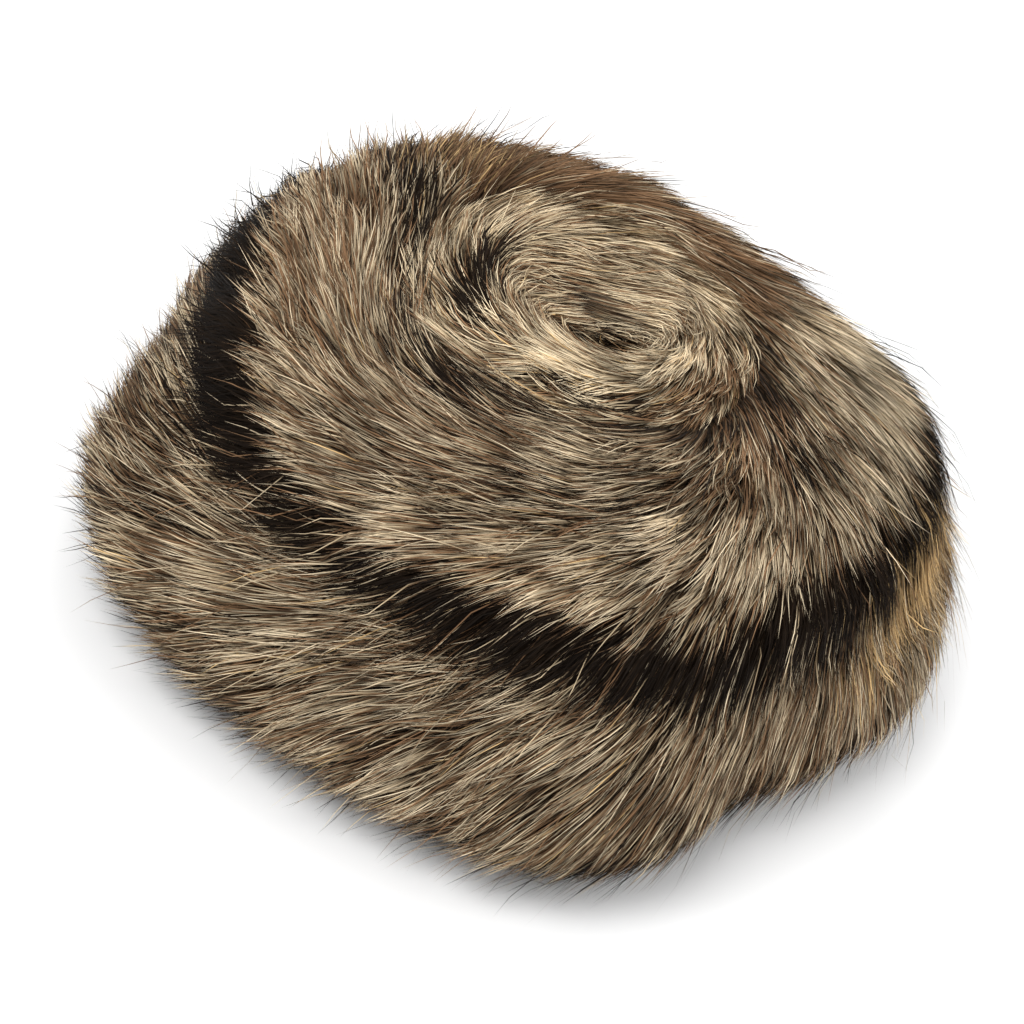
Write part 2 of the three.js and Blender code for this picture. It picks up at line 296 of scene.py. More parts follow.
# %% [markdown]
# ## The colours of raccoon hair
# A raccoon's guard hair isn't one colour. It is dark at the root, then has a cream band, and ends in
# a dark tip, while the wool under it is brown, and some patches of the pelt are nearly black, rufous
# or golden. The darkness at the root is partly the hair's own and partly painted shade deep in the
# coat, and the nearly black hair also paints the shade of the hat's grooves and hollows. All of that
# is one small palette: a hair's UV map says which kind of hair it is and how bright (U), and how far
# along the hair a point lies (V). A colour ramp for each kind does the rest.
# A material for each kind would do too, but then one mesh couldn't mix the kinds hair by hair. The
# group below is used by the three hair materials, each with its own tint.

# %% The kinds of hair
HAIR_KINDS = {
    # Every kind darkens towards the root: partly the hair's own colour, partly painted shade deep in the
    # coat.
    "dark": [(0.0, (0.014, 0.009, 0.005)), (0.5, (0.016, 0.010, 0.006)), (1.0, (0.007, 0.005, 0.004))],
    "brown": [(0.0, (0.045, 0.026, 0.015)), (0.5, (0.175, 0.100, 0.054)), (1.0, (0.290, 0.178, 0.102))],
    "banded": [
        (0.0, (0.045, 0.033, 0.023)), (0.44, (0.085, 0.058, 0.036)), (0.60, (0.400, 0.315, 0.205)),
        (0.80, (0.540, 0.445, 0.310)), (0.90, (0.120, 0.085, 0.056)), (1.0, (0.022, 0.016, 0.012)),
    ],
    "cream": [
        (0.0, (0.070, 0.052, 0.036)), (0.46, (0.250, 0.190, 0.122)),
        (0.66, (0.600, 0.500, 0.355)), (1.0, (0.740, 0.640, 0.480)),
    ],
    "golden": [
        (0.0, (0.070, 0.045, 0.022)), (0.45, (0.380, 0.250, 0.120)),
        (0.80, (0.660, 0.465, 0.235)), (1.0, (0.300, 0.200, 0.105)),
    ],
}
KIND_NAMES = list(HAIR_KINDS)
SHADES = 20
print("kinds of hair in the palette:", KIND_NAMES)


# %% Small helpers for nodes
def new_group(name, inputs, outputs):
    """An empty node group with sockets given as name and type, and its two end nodes."""
    tree = bpy.data.node_groups.new(name, "ShaderNodeTree")
    for way, sockets in (("INPUT", inputs), ("OUTPUT", outputs)):
        for socket_name, kind in sockets.items():
            tree.interface.new_socket(socket_name, in_out=way, socket_type=f"NodeSocket{kind}")
    return tree, tree.nodes.new("NodeGroupInput"), tree.nodes.new("NodeGroupOutput")


def new_material(name, roughness, specular):
    """A material with its node tree and its Principled shader, whose gloss is set."""
    material = bpy.data.materials.new(name)
    material.use_nodes = True
    shader = material.node_tree.nodes["Principled BSDF"]
    shader.inputs["Roughness"].default_value = roughness
    shader.inputs["Specular IOR Level"].default_value = specular
    return material, material.node_tree, shader


def link(tree, source, target):
    """Join two sockets, or set the second where the first is a plain value."""
    if isinstance(source, bpy.types.NodeSocket):
        tree.links.new(source, target)
    else:
        target.default_value = source


def add_node(tree, kind, group=None, **inputs):
    """A node that may use a group, with named inputs joined to sockets or set to values."""
    node = tree.nodes.new(f"ShaderNode{kind}")
    if group:
        node.node_tree = group
    for name, source in inputs.items():
        link(tree, source, node.inputs[name])
    return node


def maths(tree, operation, first, second):
    """A Math node on two inputs, each a socket or a number."""
    node = add_node(tree, "Math")
    node.operation = operation
    link(tree, first, node.inputs[0])
    link(tree, second, node.inputs[1])
    return node.outputs[0]


def mixed(tree, share, first, second, blend="MIX"):
    """A colour mix of two inputs, each a socket or a colour, at a share that is a socket or a number."""
    node = add_node(tree, "Mix")
    node.data_type = "RGBA"
    node.blend_type = blend
    for place, source in ((0, share), (6, first), (7, second)):
        link(tree, source, node.inputs[place])
    return node.outputs[2]


def ramp(tree, value, stops):
    """A Color Ramp node with the given places and colours."""
    node = add_node(tree, "ValToRGB")
    elements = node.color_ramp.elements
    while len(elements) < len(stops):
        elements.new(0.5)
    for element, (place, colour) in zip(elements, stops):
        element.position = place
        element.color = (*colour, 1)
    link(tree, value, node.inputs[0])
    return node.outputs[0]


# %% Build the palette group
DIMMEST = 0.42
BRIGHTER_BY = 1.15


def palette_group():
    """Colour = the ramp of the hair's kind at V, times a brightness that grows with U inside the kind's
    fifth of the palette, times the tint. The brightness carries the painted shade of the gaps between locks."""
    sockets = {"Palette": "Vector", "Tint": "Color"}
    tree, entry, leave = new_group("raccoon hair palette", sockets, {"Color": "Color"})
    split = add_node(tree, "SeparateXYZ", Vector=entry.outputs["Palette"])
    kinds = len(HAIR_KINDS)
    column, along = maths(tree, "MULTIPLY", split.outputs[0], float(kinds)), split.outputs[1]
    colour = None
    for place, stops in enumerate(HAIR_KINDS.values()):
        tone = ramp(tree, along, stops)
        past = maths(tree, "GREATER_THAN", column, float(place))
        colour = tone if colour is None else mixed(tree, past, colour, tone)
    shade = maths(tree, "FRACT", column, 0.0)
    bright = maths(tree, "ADD", maths(tree, "MULTIPLY", shade, BRIGHTER_BY), DIMMEST)
    lit = add_node(tree, "VectorMath")
    lit.operation = "SCALE"
    link(tree, colour, lit.inputs[0])
    link(tree, bright, lit.inputs["Scale"])
    link(tree, mixed(tree, 1.0, lit.outputs[0], entry.outputs["Tint"], "MULTIPLY"), leave.inputs[0])
    return tree


PALETTE = palette_group()
print("nodes in the palette group:", len(PALETTE.nodes))


# %% The hair materials
def hair_material(name, tint, roughness):
    """Hair that reads its colour from the palette at its own UV map."""
    material, tree, shader = new_material(name, roughness, 0.04)
    place = add_node(tree, "UVMap")
    place.uv_map = "OFBake"
    palette = add_node(tree, "Group", PALETTE, Palette=place.outputs[0], Tint=(*tint, 1))
    link(tree, palette.outputs[0], shader.inputs["Base Color"])
    return material


COATS = {
    "cuff": (hair_material("cuff hair", (0.86, 0.84, 0.80), 0.50), "cuff_fur"),
    "overhang": (hair_material("crown hair", (0.89, 0.86, 0.81), 0.50), "crown_fur"),
    "whorl": (hair_material("whorl hair", (1.0, 0.97, 0.90), 0.45), "whorl_fur"),
}
print("hair materials:", [material.name for material, _ in COATS.values()])

# %% [markdown]
# ## The pelts under the fur
# Under the hair lies the pelt: on its fur side the short dense wool, on its flesh side dressed skin,
# which lines the hollow. Each pelt is one closed ring, carried round the hat from a section. Its fur
# side lies under the fur's mean surface by the depth of the wool, and its hollow side is the wall of
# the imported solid. Cloth simulation would be the way for a bare pelt, but under a coat this deep no
# fold of it shows, so a formula is enough. Wool and skin share one fibre group, at two scales.


# %% Build the fibre group
def fibre_group():
    """Fibre: the mean of a fine and a broad noise on Object coordinates mixes two colours, and the
    fine one is also the height."""
    inputs = {"Scale": "Float", "Dark": "Color", "Light": "Color"}
    outputs = {"Color": "Color", "Height": "Float"}
    tree, entry, leave = new_group("wool and skin fibre", inputs, outputs)
    place = add_node(tree, "TexCoord").outputs["Object"]
    fine = add_node(tree, "TexNoise", Vector=place, Scale=entry.outputs["Scale"], Detail=4.0, Distortion=1.5)
    broad = add_node(tree, "TexNoise", Vector=place, Scale=45.0)
    share = maths(tree, "MULTIPLY", maths(tree, "ADD", fine.outputs[0], broad.outputs[0]), 0.5)
    link(tree, mixed(tree, share, entry.outputs["Dark"], entry.outputs["Light"]), leave.inputs["Color"])
    link(tree, fine.outputs[0], leave.inputs["Height"])
    return tree


FIBRE = fibre_group()


def fibre_material(name, scale, dark, light, bump):
    """A rough material with the fibre group's colour, and its height as a bump."""
    material, tree, shader = new_material(name, 0.9, 0.2)
    fibre = add_node(tree, "Group", FIBRE, Scale=scale, Dark=(*dark, 1), Light=(*light, 1))
    relief = add_node(tree, "Bump", Strength=bump, Distance=0.0008, Height=fibre.outputs["Height"])
    link(tree, fibre.outputs["Color"], shader.inputs["Base Color"])
    link(tree, relief.outputs[0], shader.inputs["Normal"])
    return material


WOOL = fibre_material("raccoon wool", 900.0, (0.022, 0.015, 0.010), (0.085, 0.058, 0.038), 0.8)
SKIN_SIDE = fibre_material("dressed skin", 1400.0, (0.46, 0.36, 0.25), (0.66, 0.56, 0.42), 0.3)
print("pelt materials:", WOOL.name, SKIN_SIDE.name)

# %% The two sides of a pelt
ROUND_STEPS = 120
WOOL_DEPTH = 0.0085
SEAM_GAP = 0.0003
OFF_FLOOR = 0.0004


def dome_over(place):
    """The hollow's dome: q to the power plus (z / depth) to the power is 1, q the share of the oval."""
    q = np.minimum(1, oval_share(place))
    height = HEAD_DEPTH * (1 - q**DOME_POWER) ** (1 / DOME_POWER)
    return np.concatenate([place, height[..., None]], -1)


def hollow_wall(height, around):
    """The hollow's wall at a height, from the same formula solved for q."""
    share = (1 - (height / HEAD_DEPTH) ** DOME_POWER) ** (1 / DOME_POWER)
    place = outlines(around)["head"] * share[..., None]
    return np.concatenate([place, height[..., None]], -1)


WOOL_AT_ENDS = {"cuff": (0.0, 0.3), "crown": (0.3, 0.7), "whorl": (0.7, 1.0)}


def wool_side(section, around, along):
    """The fur's mean surface moved in by the wool's depth, less towards the section's two ends."""
    point, _, _, out, _, _ = surface_frame(section, around, along)
    if section == "whorl":
        out[:, -1] = unit(out[:, -2].mean(0))
    first, last = WOOL_AT_ENDS[section]
    depth = WOOL_DEPTH * np.clip(first + 8 * along, 0, 1) * np.clip(last + 8 * (1 - along), 0, 1)
    point = point - depth[..., None] * out
    point[..., 2] = np.maximum(point[..., 2], OFF_FLOOR)
    return point


print("hollow's top, in m:", dome_over(np.zeros(2)))


# %% Make the three pelts
def pelt(node, section, fur_steps):
    """One pelt: a ring through the wool side and the hollow side, which replaces its solid."""
    around = np.linspace(0, 2 * np.pi, ROUND_STEPS, endpoint=False)[:, None]
    along = np.linspace(0, 1, fur_steps)[None]
    wool = wool_side(section, around + 0 * along, along + 0 * around)
    plan = outlines(around[:, 0])
    if section == "cuff":
        share = np.linspace(1, 0, 9)[None]
        inside = hollow_wall(share * SEAM_LEVEL + 0 * around + OFF_FLOOR * (1 - share), around + 0 * share)
    else:
        edge = dome_over(plan["whorl"])[:, None, :2]
        start = plan["whorl_middle"][:, None]
        if section == "crown":
            start = edge
            edge = hollow_wall(np.full(ROUND_STEPS, SEAM_LEVEL), around[:, 0])[:, None, :2]
            wool[:, -1, :2] += 0.0005 * unit(wool[:, -1, :2] - WHORL_MIDDLE)
        share = np.linspace(0, 1, 8)[None, :, None]
        inside = dome_over(start + (edge - start) * share)
        if section == "crown":
            wool[:, 0, 2] += SEAM_GAP
            inside[:, -1, 2] += SEAM_GAP
    piece = ring_mesh(f"{node}_pelt", np.concatenate([wool, inside], 1), section != "whorl")
    piece.data.materials.append(WOOL)
    piece.data.materials.append(SKIN_SIDE)
    centres = np.empty(3 * len(piece.data.polygons))
    piece.data.polygons.foreach_get("center", centres)
    centres = centres.reshape(-1, 3)
    height = centres[:, 2] / HEAD_DEPTH
    in_hollow = oval_share(centres) ** DOME_POWER + height**DOME_POWER < 1.01
    piece.data.polygons.foreach_set("material_index", in_hollow.astype(np.int32))
    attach(piece, "root")
    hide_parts(node)
    return piece


PELTS = [
    pelt("cuff", "cuff", 26),
    pelt("crown_side", "crown", 26),
    pelt("crown_tip", "whorl", 18),
]
print("pelts:", [(piece.name, len(piece.data.polygons)) for piece in PELTS])

# %% [markdown]
# ## How the fur lies
# Round a hat like this the hair doesn't point straight down. It turns clockwise and falls to the hem
# by an angle that changes round the hat: nearly level on the left, steeper in front, and straight
# down on the right, where the pelt is folded. Two tables give that fall: an angle round the hat, and
# the degrees below the level there, low and high on the piece. On the whorl the fall eases to nothing,
# so the hair turns in a spiral. Combing by hand would do the same, but a table can be read and changed.

# %% The fall of the fur
CUFF_FALL = [
    (-170, 26, 16), (-158, 34, 18), (-143, 44, 26), (-130, 52, 28), (-115, 58, 30),
    (-100, 54, 32), (-88, 50, 36), (-75, 42, 42), (-65, 52, 52), (-54, 70, 70),
    (-42, 96, 96), (-28, 80, 80), (0, 50, 50), (60, 34, 34), (150, 30, 26),
]
CROWN_FALL = [
    (-172, 38, -24), (-158, 34, -18), (-141, 33, 4), (-127, 38, 14), (-110, 41, 10),
    (-100, 42, 16), (-86, 58, 20), (-74, 64, 26), (-62, 68, 48), (-48, 80, 52),
    (-28, 60, 44), (-12, 46, 30), (10, 38, 20), (40, 44, -10), (75, 36, 8),
    (100, 40, 24), (118, 46, 36), (134, 38, 28), (146, 36, 26), (170, 36, -2),
]
FALLS = {"cuff": (0.45, 0.75, CUFF_FALL), "crown": (0.45, 0.90, CROWN_FALL)}


def round_table(around, table, column):
    """Straight lines between a column's values in a table, which closes on itself round the hat."""
    columns = np.array(table).T
    return np.interp(np.degrees(around), columns[0], columns[column], period=360)


def fall_of(piece, around, along):
    """Degrees that the hair falls below the level: mixed from a table's low and high columns on cuff
    and crown, and on the whorl 14, with a fan at the front, less to nothing at a third of the way in."""
    if piece == "whorl":
        fan = 30 * np.exp(-((away(around, -140) / 26) ** 2))
        return (14 + fan) * np.clip(1 - along / 0.35, 0, 1)
    low, high, table = FALLS[piece]
    up = np.clip((along - low) / (high - low), 0, 1)
    return round_table(around, table, 1) * (1 - up) + round_table(around, table, 2) * up


print("fall on the cuff's front, in degrees:", fall_of("cuff", np.radians(-90), 0.5).round(1))

# %% Shares of the overhang
CROWN_STEPS = len(CROWN_ROWS) - 1
OVERHANG_STEPS = len(SECTIONS["overhang"]) - 1
ADDED_STEPS = OVERHANG_STEPS - CROWN_STEPS


def crown_share(along):
    """The crown's share at a share of the overhang, whose last rows are the crown's last rows."""
    return (along * OVERHANG_STEPS - ADDED_STEPS) / CROWN_STEPS


def overhang_share(along):
    """The overhang's share at a share of the crown's section."""
    return (along * CROWN_STEPS + ADDED_STEPS) / OVERHANG_STEPS


def on_piece(section, along):
    """The piece that a section's hair grows on, and the share of that piece's own section."""
    if section == "overhang":
        return "crown", crown_share(along)
    return section, along


print("the crown's lowest row is at", round(overhang_share(0), 2), "of the overhang")


# %% Follow hair over the surface
HAIR_STEPS = 4
LEAVES_AT = 0.05
BEFORE_POLE = 0.985
LEAST_RATE = 0.012


def combed(section, around, along, fall, length):
    """The line of each hair along the surface, in equal strides: cosine of the fall clockwise, sine
    of it down the section. Past the lowest row a hair goes straight on. Returns points, outward
    directions, and the angle and share at the last stride but one, where a hair's colour shows."""
    if section == "whorl":
        return combed_on_whorl(around, along, fall, length)
    stride = (length / HAIR_STEPS)[:, None]
    points, outs = [], []
    gone = np.zeros(len(around), bool)
    for step in range(HAIR_STEPS + 1):
        here, clockwise, up, out, round_rate, up_rate = surface_frame(section, around, along)
        piece, share = on_piece(section, along)
        turn = np.radians(fall_of(piece, around, share) + fall)
        way = np.cos(turn)[:, None] * clockwise - np.sin(turn)[:, None] * up
        if step:
            here = np.where(gone[:, None], points[-1] + way_before * stride, here)
            way = np.where(gone[:, None], way_before, way)
            out = np.where(gone[:, None], outs[-1], out)
        points.append(here)
        outs.append(out)
        gone = gone | (along < LEAVES_AT)
        way_before = way
        if step == HAIR_STEPS - 1:
            shown_around, shown_along = around, along
        around = around - stride[:, 0] * np.cos(turn) / np.maximum(round_rate, LEAST_RATE)
        along = np.clip(along - stride[:, 0] * np.sin(turn) / up_rate, 0, BEFORE_POLE)
    return np.stack(points, 1), np.stack(outs, 1), shown_around, shown_along


# %% Follow hair over the whorl
WHORL_SHARES = np.linspace(0, 1, 200)
WHORL_SPOKE = fur_surface("whorl", 0 * WHORL_SHARES, WHORL_SHARES)
WHORL_REACHES = np.linalg.norm(WHORL_SPOKE[:, :2] - WHORL_MIDDLE, axis=1)
# The eye that the hair turns round, the slit's end and the two ways along and over it, in the plan.
EYE = np.array([-0.004, -0.016])
SWEEP = np.array([0.866, -0.5])
SLIT_END = np.array([-0.023, -0.008])
OVER_SLIT = np.array([0.416, 0.909])
SLIT_SOFTNESS = 0.004
SWEPT_RADIUS = 0.026
EDGE_RISE = 0.45


def combed_on_whorl(around, along, fall, length):
    """The same in the plan. Hair turns round a middle that moves from the whorl's to its eye, and
    inside, over the slit, it sweeps straight across. Its height is the surface's at that place."""
    stride = (length / HAIR_STEPS)[:, None]
    place = fur_surface("whorl", around, along)[..., :2] - WHORL_MIDDLE
    points, outs = [], []
    for step in range(HAIR_STEPS + 1):
        reach = np.linalg.norm(place, axis=-1)
        around = np.arctan2(place[:, 1], place[:, 0])
        along = np.interp(reach, WHORL_REACHES[::-1], WHORL_SHARES[::-1])
        here, _, _, out, _, _ = surface_frame("whorl", around, np.minimum(along, BEFORE_POLE))
        here[:, :2] = place + WHORL_MIDDLE
        here[:, 2] += EDGE_RISE * np.maximum(reach - WHORL_RADIUS, 0)
        points.append(here)
        outs.append(out)
        if step == HAIR_STEPS - 1:
            shown_around, shown_along = around, along
        spoke = unit(place - EYE * np.clip(1 - reach / WHORL_RADIUS, 0, 1)[:, None])
        turn = np.radians(fall_of("whorl", around, along) + fall)[:, None]
        ring = np.stack([spoke[:, 1], -spoke[:, 0]], 1)
        way = np.cos(turn) * ring + np.sin(turn) * spoke
        over = np.clip(((place - SLIT_END) @ OVER_SLIT) / SLIT_SOFTNESS + 0.5, 0, 1)
        inside = (over * np.exp(-((reach / SWEPT_RADIUS) ** 6)))[:, None]
        tilt = np.radians(fall)[:, None]
        sweep = np.cos(tilt) * SWEEP + np.sin(tilt) * np.array([-SWEEP[1], SWEEP[0]])
        place = place + stride * unit((1 - inside) * way + inside * sweep)
    return np.stack(points, 1), np.stack(outs, 1), shown_around, shown_along


print("the whorl's hair turns round", WHORL_MIDDLE + EYE)

# %% [markdown]
# ## Tufts and locks
# Hair clings together. Hairs that root within a few millimetres end in one tuft, and tufts lie
# together in locks as broad as a thumb, with darker gaps between them, which are also darkened in the
# hair's colour as painted shade. Both come from the same idea: the surface is divided into cells with
# scattered middles, each hair belongs to the nearest middle, and it bends towards the hair that grows
# there, more and more towards its tip.


# %% Find each hair's tuft
def nearest_cell(around, along, cells_round, cells_up, seed):
    """The number of the nearest scattered cell middle, among a hair's own cell and its neighbours."""
    jitter = np.random.default_rng(seed).uniform(0.1, 0.9, (cells_up, cells_round, 2))
    x = (around / (2 * np.pi)) % 1 * cells_round
    y = along * cells_up
    best = np.full(len(around), np.inf)
    chosen = np.zeros(len(around), int)
    for side in (-1, 0, 1):
        for up in (-1, 0, 1):
            column = np.floor(x).astype(int) + side
            row = np.clip(np.floor(y).astype(int) + up, 0, cells_up - 1)
            middle = jitter[row, column % cells_round]
            far = (x - column - middle[:, 0]) ** 2 + (y - row - middle[:, 1]) ** 2
            nearer = far < best
            best = np.where(nearer, far, best)
            chosen = np.where(nearer, row * cells_round + column % cells_round, chosen)
    rows, columns = np.divmod(np.arange(cells_up * cells_round), cells_round)
    middles = jitter.reshape(-1, 2)
    middle_around = (columns + middles[:, 0]) / cells_round * 2 * np.pi
    middle_along = (rows + middles[:, 1]) / cells_up
    return chosen, middle_around, middle_along, best


# %% [markdown]
# ## Where each kind of hair grows
# The pelt has markings: a nearly black stripe between crown and cuff, which is dark hair with painted
# shade of the groove there, darker bands round the whorl, which are dark hair with painted shade of the
# valley between crown and whorl, painted shade in the whorl's slit, a parting at the right where the
# brown wool shows, darkened further by painted shade, rufous and cream patches, and dark-tipped hair
# with painted shade low on the cuff. The stripe and the hem have their edges in tables. Each other
# marking is a soft oval: degrees round the hat, half width, share of the section, half share, kind of
# hair and strength. Chance shares out what no marking claims. A painted picture would do it too, but
# it can't be changed number by number.

# %% The markings
# The dark rows near the crown's top are dark hair with painted shade of the valley by the whorl, and those
# at -52 and -46 degrees add painted shade to the parting.
CROWN_MARKINGS = [
    (119, 10, 0.72, 0.10, "dark", 0.92),
    (132, 9, 0.82, 0.08, "dark", 0.93),
    (147, 10, 0.92, 0.08, "dark", 0.90),
    (172, 14, 0.93, 0.06, "dark", 0.75),
    (-152, 16, 0.86, 0.07, "dark", 0.80),
    (-139, 10, 0.84, 0.07, "dark", 0.80),
    (-106, 26, 0.96, 0.05, "dark", 0.55),
    (-108, 22, 0.68, 0.05, "dark", 0.25),
    (-66, 12, 0.92, 0.09, "dark", 0.65),
    (-50, 13, 0.90, 0.10, "brown", 0.85),
    (-60, 9, 0.76, 0.08, "brown", 0.65),
    (-46, 16, 0.90, 0.11, "dark", 0.70),
    (-36, 14, 0.20, 0.14, "golden", 0.95),
    (168, 24, 0.66, 0.16, "brown", 0.25),
    (-52, 8, 0.72, 0.05, "dark", 0.70),
    (104, 14, 0.76, 0.20, "brown", 0.92),
    (104, 14, 0.76, 0.18, "golden", 0.38),
    (76, 24, 0.80, 0.22, "brown", 0.90),
    (34, 24, 0.84, 0.16, "brown", 0.80),
    (34, 22, 0.84, 0.10, "dark", 0.15),
    (122, 7, 0.88, 0.08, "cream", 0.60),
    (134, 7, 0.99, 0.05, "cream", 0.60),
    (0, 16, 0.68, 0.13, "cream", 0.95),
    (6, 22, 0.91, 0.09, "brown", 0.85),
    (6, 20, 0.91, 0.07, "dark", 0.20),
    (-17, 10, 0.65, 0.10, "cream", 0.80),
    (-40, 15, 0.62, 0.10, "cream", 0.30),
    (-84, 16, 0.58, 0.10, "cream", 0.35),
]
CUFF_MARKINGS = [
    (-35, 11, 0.80, 0.10, "golden", 0.95),
    (-48, 9, 0.66, 0.10, "golden", 0.60),
    (-10, 18, 0.62, 0.16, "golden", 0.35),
    (178, 14, 0.62, 0.20, "dark", 0.20),
    (-62, 22, 0.55, 0.25, "brown", 0.25),
]
# The dark rows at the whorl's edge are painted shade of the valley by the crown, and those from 152 to 193
# degrees are painted shade in the slit.
WHORL_MARKINGS = [
    (151, 12, 0.08, 0.07, "cream", 0.60),
    (-106, 34, 0.24, 0.13, "golden", 0.30),
    (-112, 42, 0.31, 0.15, "cream", 0.90),
    (-60, 24, 0.38, 0.14, "cream", 0.60),
    (-108, 34, 0.10, 0.08, "dark", 0.85),
    (152, 30, 0.43, 0.13, "dark", 0.97),
    (174, 18, 0.34, 0.14, "dark", 0.97),
    (-174, 15, 0.24, 0.12, "dark", 0.97),
    (-167, 12, 0.14, 0.10, "dark", 0.90),
    (-50, 28, 0.07, 0.11, "brown", 0.70),
    (-50, 26, 0.07, 0.10, "dark", 0.40),
    (-80, 34, 0.72, 0.09, "dark", 0.70),
]
MARKINGS = {"crown": CROWN_MARKINGS, "cuff": CUFF_MARKINGS, "whorl": WHORL_MARKINGS}
print("markings:", {piece: len(rows) for piece, rows in MARKINGS.items()})

# %% The shares of each kind outside the markings
# The columns are the kinds of hair, from dark to golden. The leans say which kinds lie high.
SHARES = {
    "cuff": (0.14, 0.27, 0.40, 0.17, 0.01),
    "crown": (0.11, 0.28, 0.39, 0.20, 0.01),
    "whorl": (0.04, 0.13, 0.34, 0.48, 0.01),
}
LEANS_HIGH = np.array([-0.7, -0.8, 0.3, 1.0, 0.2])


def ovals(rows, around, along):
    """For each row: the square of (degrees away / half width) plus that of (share away / half share),
    which is 1 at the oval's edge, and the row's other columns."""
    for at, half, share, half_share, *others in rows:
        yield (away(around, at) / half) ** 2 + ((along - share) / half_share) ** 2, others


# %% The dark stripe with painted shade of the groove, and the hem's dark tips with painted shade
# The columns are degrees round the hat, and the shares of the section where an edge lies.
# The stripe on the crown's rim is the pelt's dark hair together with painted shade of the groove under it.
STRIPE_AND_GROOVE_SHADE = [
    (-180, 0.17, 0.46), (-170, 0.18, 0.43), (-160, 0.22, 0.39), (-148, 0.24, 0.34),
    (-135, 0.245, 0.37), (-122, 0.235, 0.425), (-110, 0.225, 0.43), (-101, 0.225, 0.40),
    (-92, 0.21, 0.41), (-85, 0.20, 0.40), (-78, 0.20, 0.45), (-71, 0.22, 0.50),
    (-64, 0.23, 0.52), (-57, 0.21, 0.50), (-44, 0.25, 0.51), (-30, 0.23, 0.49),
    (-18, 0.24, 0.49), (30, 0.26, 0.46), (90, 0.24, 0.46), (138, 0.16, 0.39),
    (152, 0.15, 0.45), (166, 0.16, 0.46),
]
# On the cuff's top by the groove: dark hair with painted shade of the groove.
CUFF_GROOVE_DARK_AND_SHADE = [
    (-180, 0.79), (-167, 0.82), (-154, 0.84), (-147, 0.86), (-139, 0.88),
    (-126, 0.86), (-119, 0.88), (-112, 0.885), (-104, 0.91), (-96, 0.87),
    (-80, 0.86), (-70, 0.91), (-57, 0.90), (-44, 0.92), (-22, 0.88),
    (90, 0.87), (133, 0.68), (154, 0.73), (168, 0.76),
]
# Low on the cuff, under its bulge by the floor: dark-tipped hair with painted shade.
HEM_DARK_TIPS_AND_SHADE = [
    (-180, 0.38), (-156, 0.35), (-138, 0.30), (-123, 0.27), (-103, 0.31),
    (-92, 0.36), (-80, 0.43), (-64, 0.45), (-50, 0.39), (0, 0.32),
]


def past(value, edge, softness):
    """A soft step from 0 to 1 at an edge: 1 over 1 plus exp of (edge less value, over softness)."""
    return 1 / (1 + np.exp((edge - value) / softness))


def stripe_and_shade_of(piece, around, along):
    """How dark the stripe is: between its lower and its upper edge on the crown, past an edge on the cuff,
    and fainter at the hem. It is the pelt's dark hair with painted shade: of the groove on crown and cuff,
    and under the cuff's bulge at the hem. The tables give the edges' shares round the hat."""
    if piece == "crown":
        above_low = past(along, round_table(around, STRIPE_AND_GROOVE_SHADE, 1), 0.012)
        return 0.98 * above_low * past(-along, -round_table(around, STRIPE_AND_GROOVE_SHADE, 2), 0.012)
    if piece == "cuff":
        groove_dark_and_shade = 0.93 * past(along, round_table(around, CUFF_GROOVE_DARK_AND_SHADE, 1), 0.020)
        return groove_dark_and_shade + (0.95 - groove_dark_and_shade) * 0.75 * past(-along, -round_table(around, HEM_DARK_TIPS_AND_SHADE, 1), 0.025)
    return 0 * along


# %% The chance of each kind of hair
def chances(piece, around, along, height):
    """The chance of each kind at a place: its share times exp of height times its lean, so that low hair is
    darker and browner, which is partly the wool's own brown and partly painted shade deep in the coat and in
    the gaps between locks, and then each marking's claim in turn takes its part of the whole."""
    odds = SHARES[piece] * np.exp(height[:, None] * LEANS_HIGH)
    odds = odds / odds.sum(1, keepdims=True)
    claims = [(stripe_and_shade_of(piece, around, along), "dark")]
    for oval, (kind, strength) in ovals(MARKINGS[piece], around, along):
        claims.append((strength * np.exp(-(oval**1.5)), kind))
    for claim, kind in claims:
        odds = odds * (1 - claim[:, None])
        odds[:, KIND_NAMES.index(kind)] += claim
    return odds / odds.sum(1, keepdims=True)


print("chances in the stripe:", chances("crown", np.array([-1.6]), np.array([0.3]), np.zeros(1)).round(2))

# %% [markdown]
# ## Growing a field of hair
# A field is one layer of hair on one piece. Its roots are scattered evenly over the area, each hair
# is combed over the surface, drawn into its tuft and its lock, lifted from the root in the wool to a
# tip just over the mean surface, and made a ribbon that narrows to a point. Blender has hair curves
# of its own, but other viewers don't show them, while a mesh of ribbons looks the same everywhere.


# %% Scatter the roots
def roots(section, low, high, count, scatter):
    """Angles and shares with even density: four times as many are drawn, and each is kept with a
    chance that grows with the area there, which is the product of the surface's two rates."""
    around = scatter.uniform(0, 2 * np.pi, count * 4)
    along = scatter.uniform(low, high, count * 4)
    _, _, _, _, round_rate, up_rate = surface_frame(section, around, along)
    area = round_rate * up_rate
    kept = scatter.uniform(0, np.quantile(area, 0.99), len(area)) < area
    return around[kept][:count], along[kept][:count]


# %% Make ribbons
RIBBON_TAPER = np.array([0.75, 1.0, 0.92, 0.62, 0.0])
HALF_COLUMN = 0.003


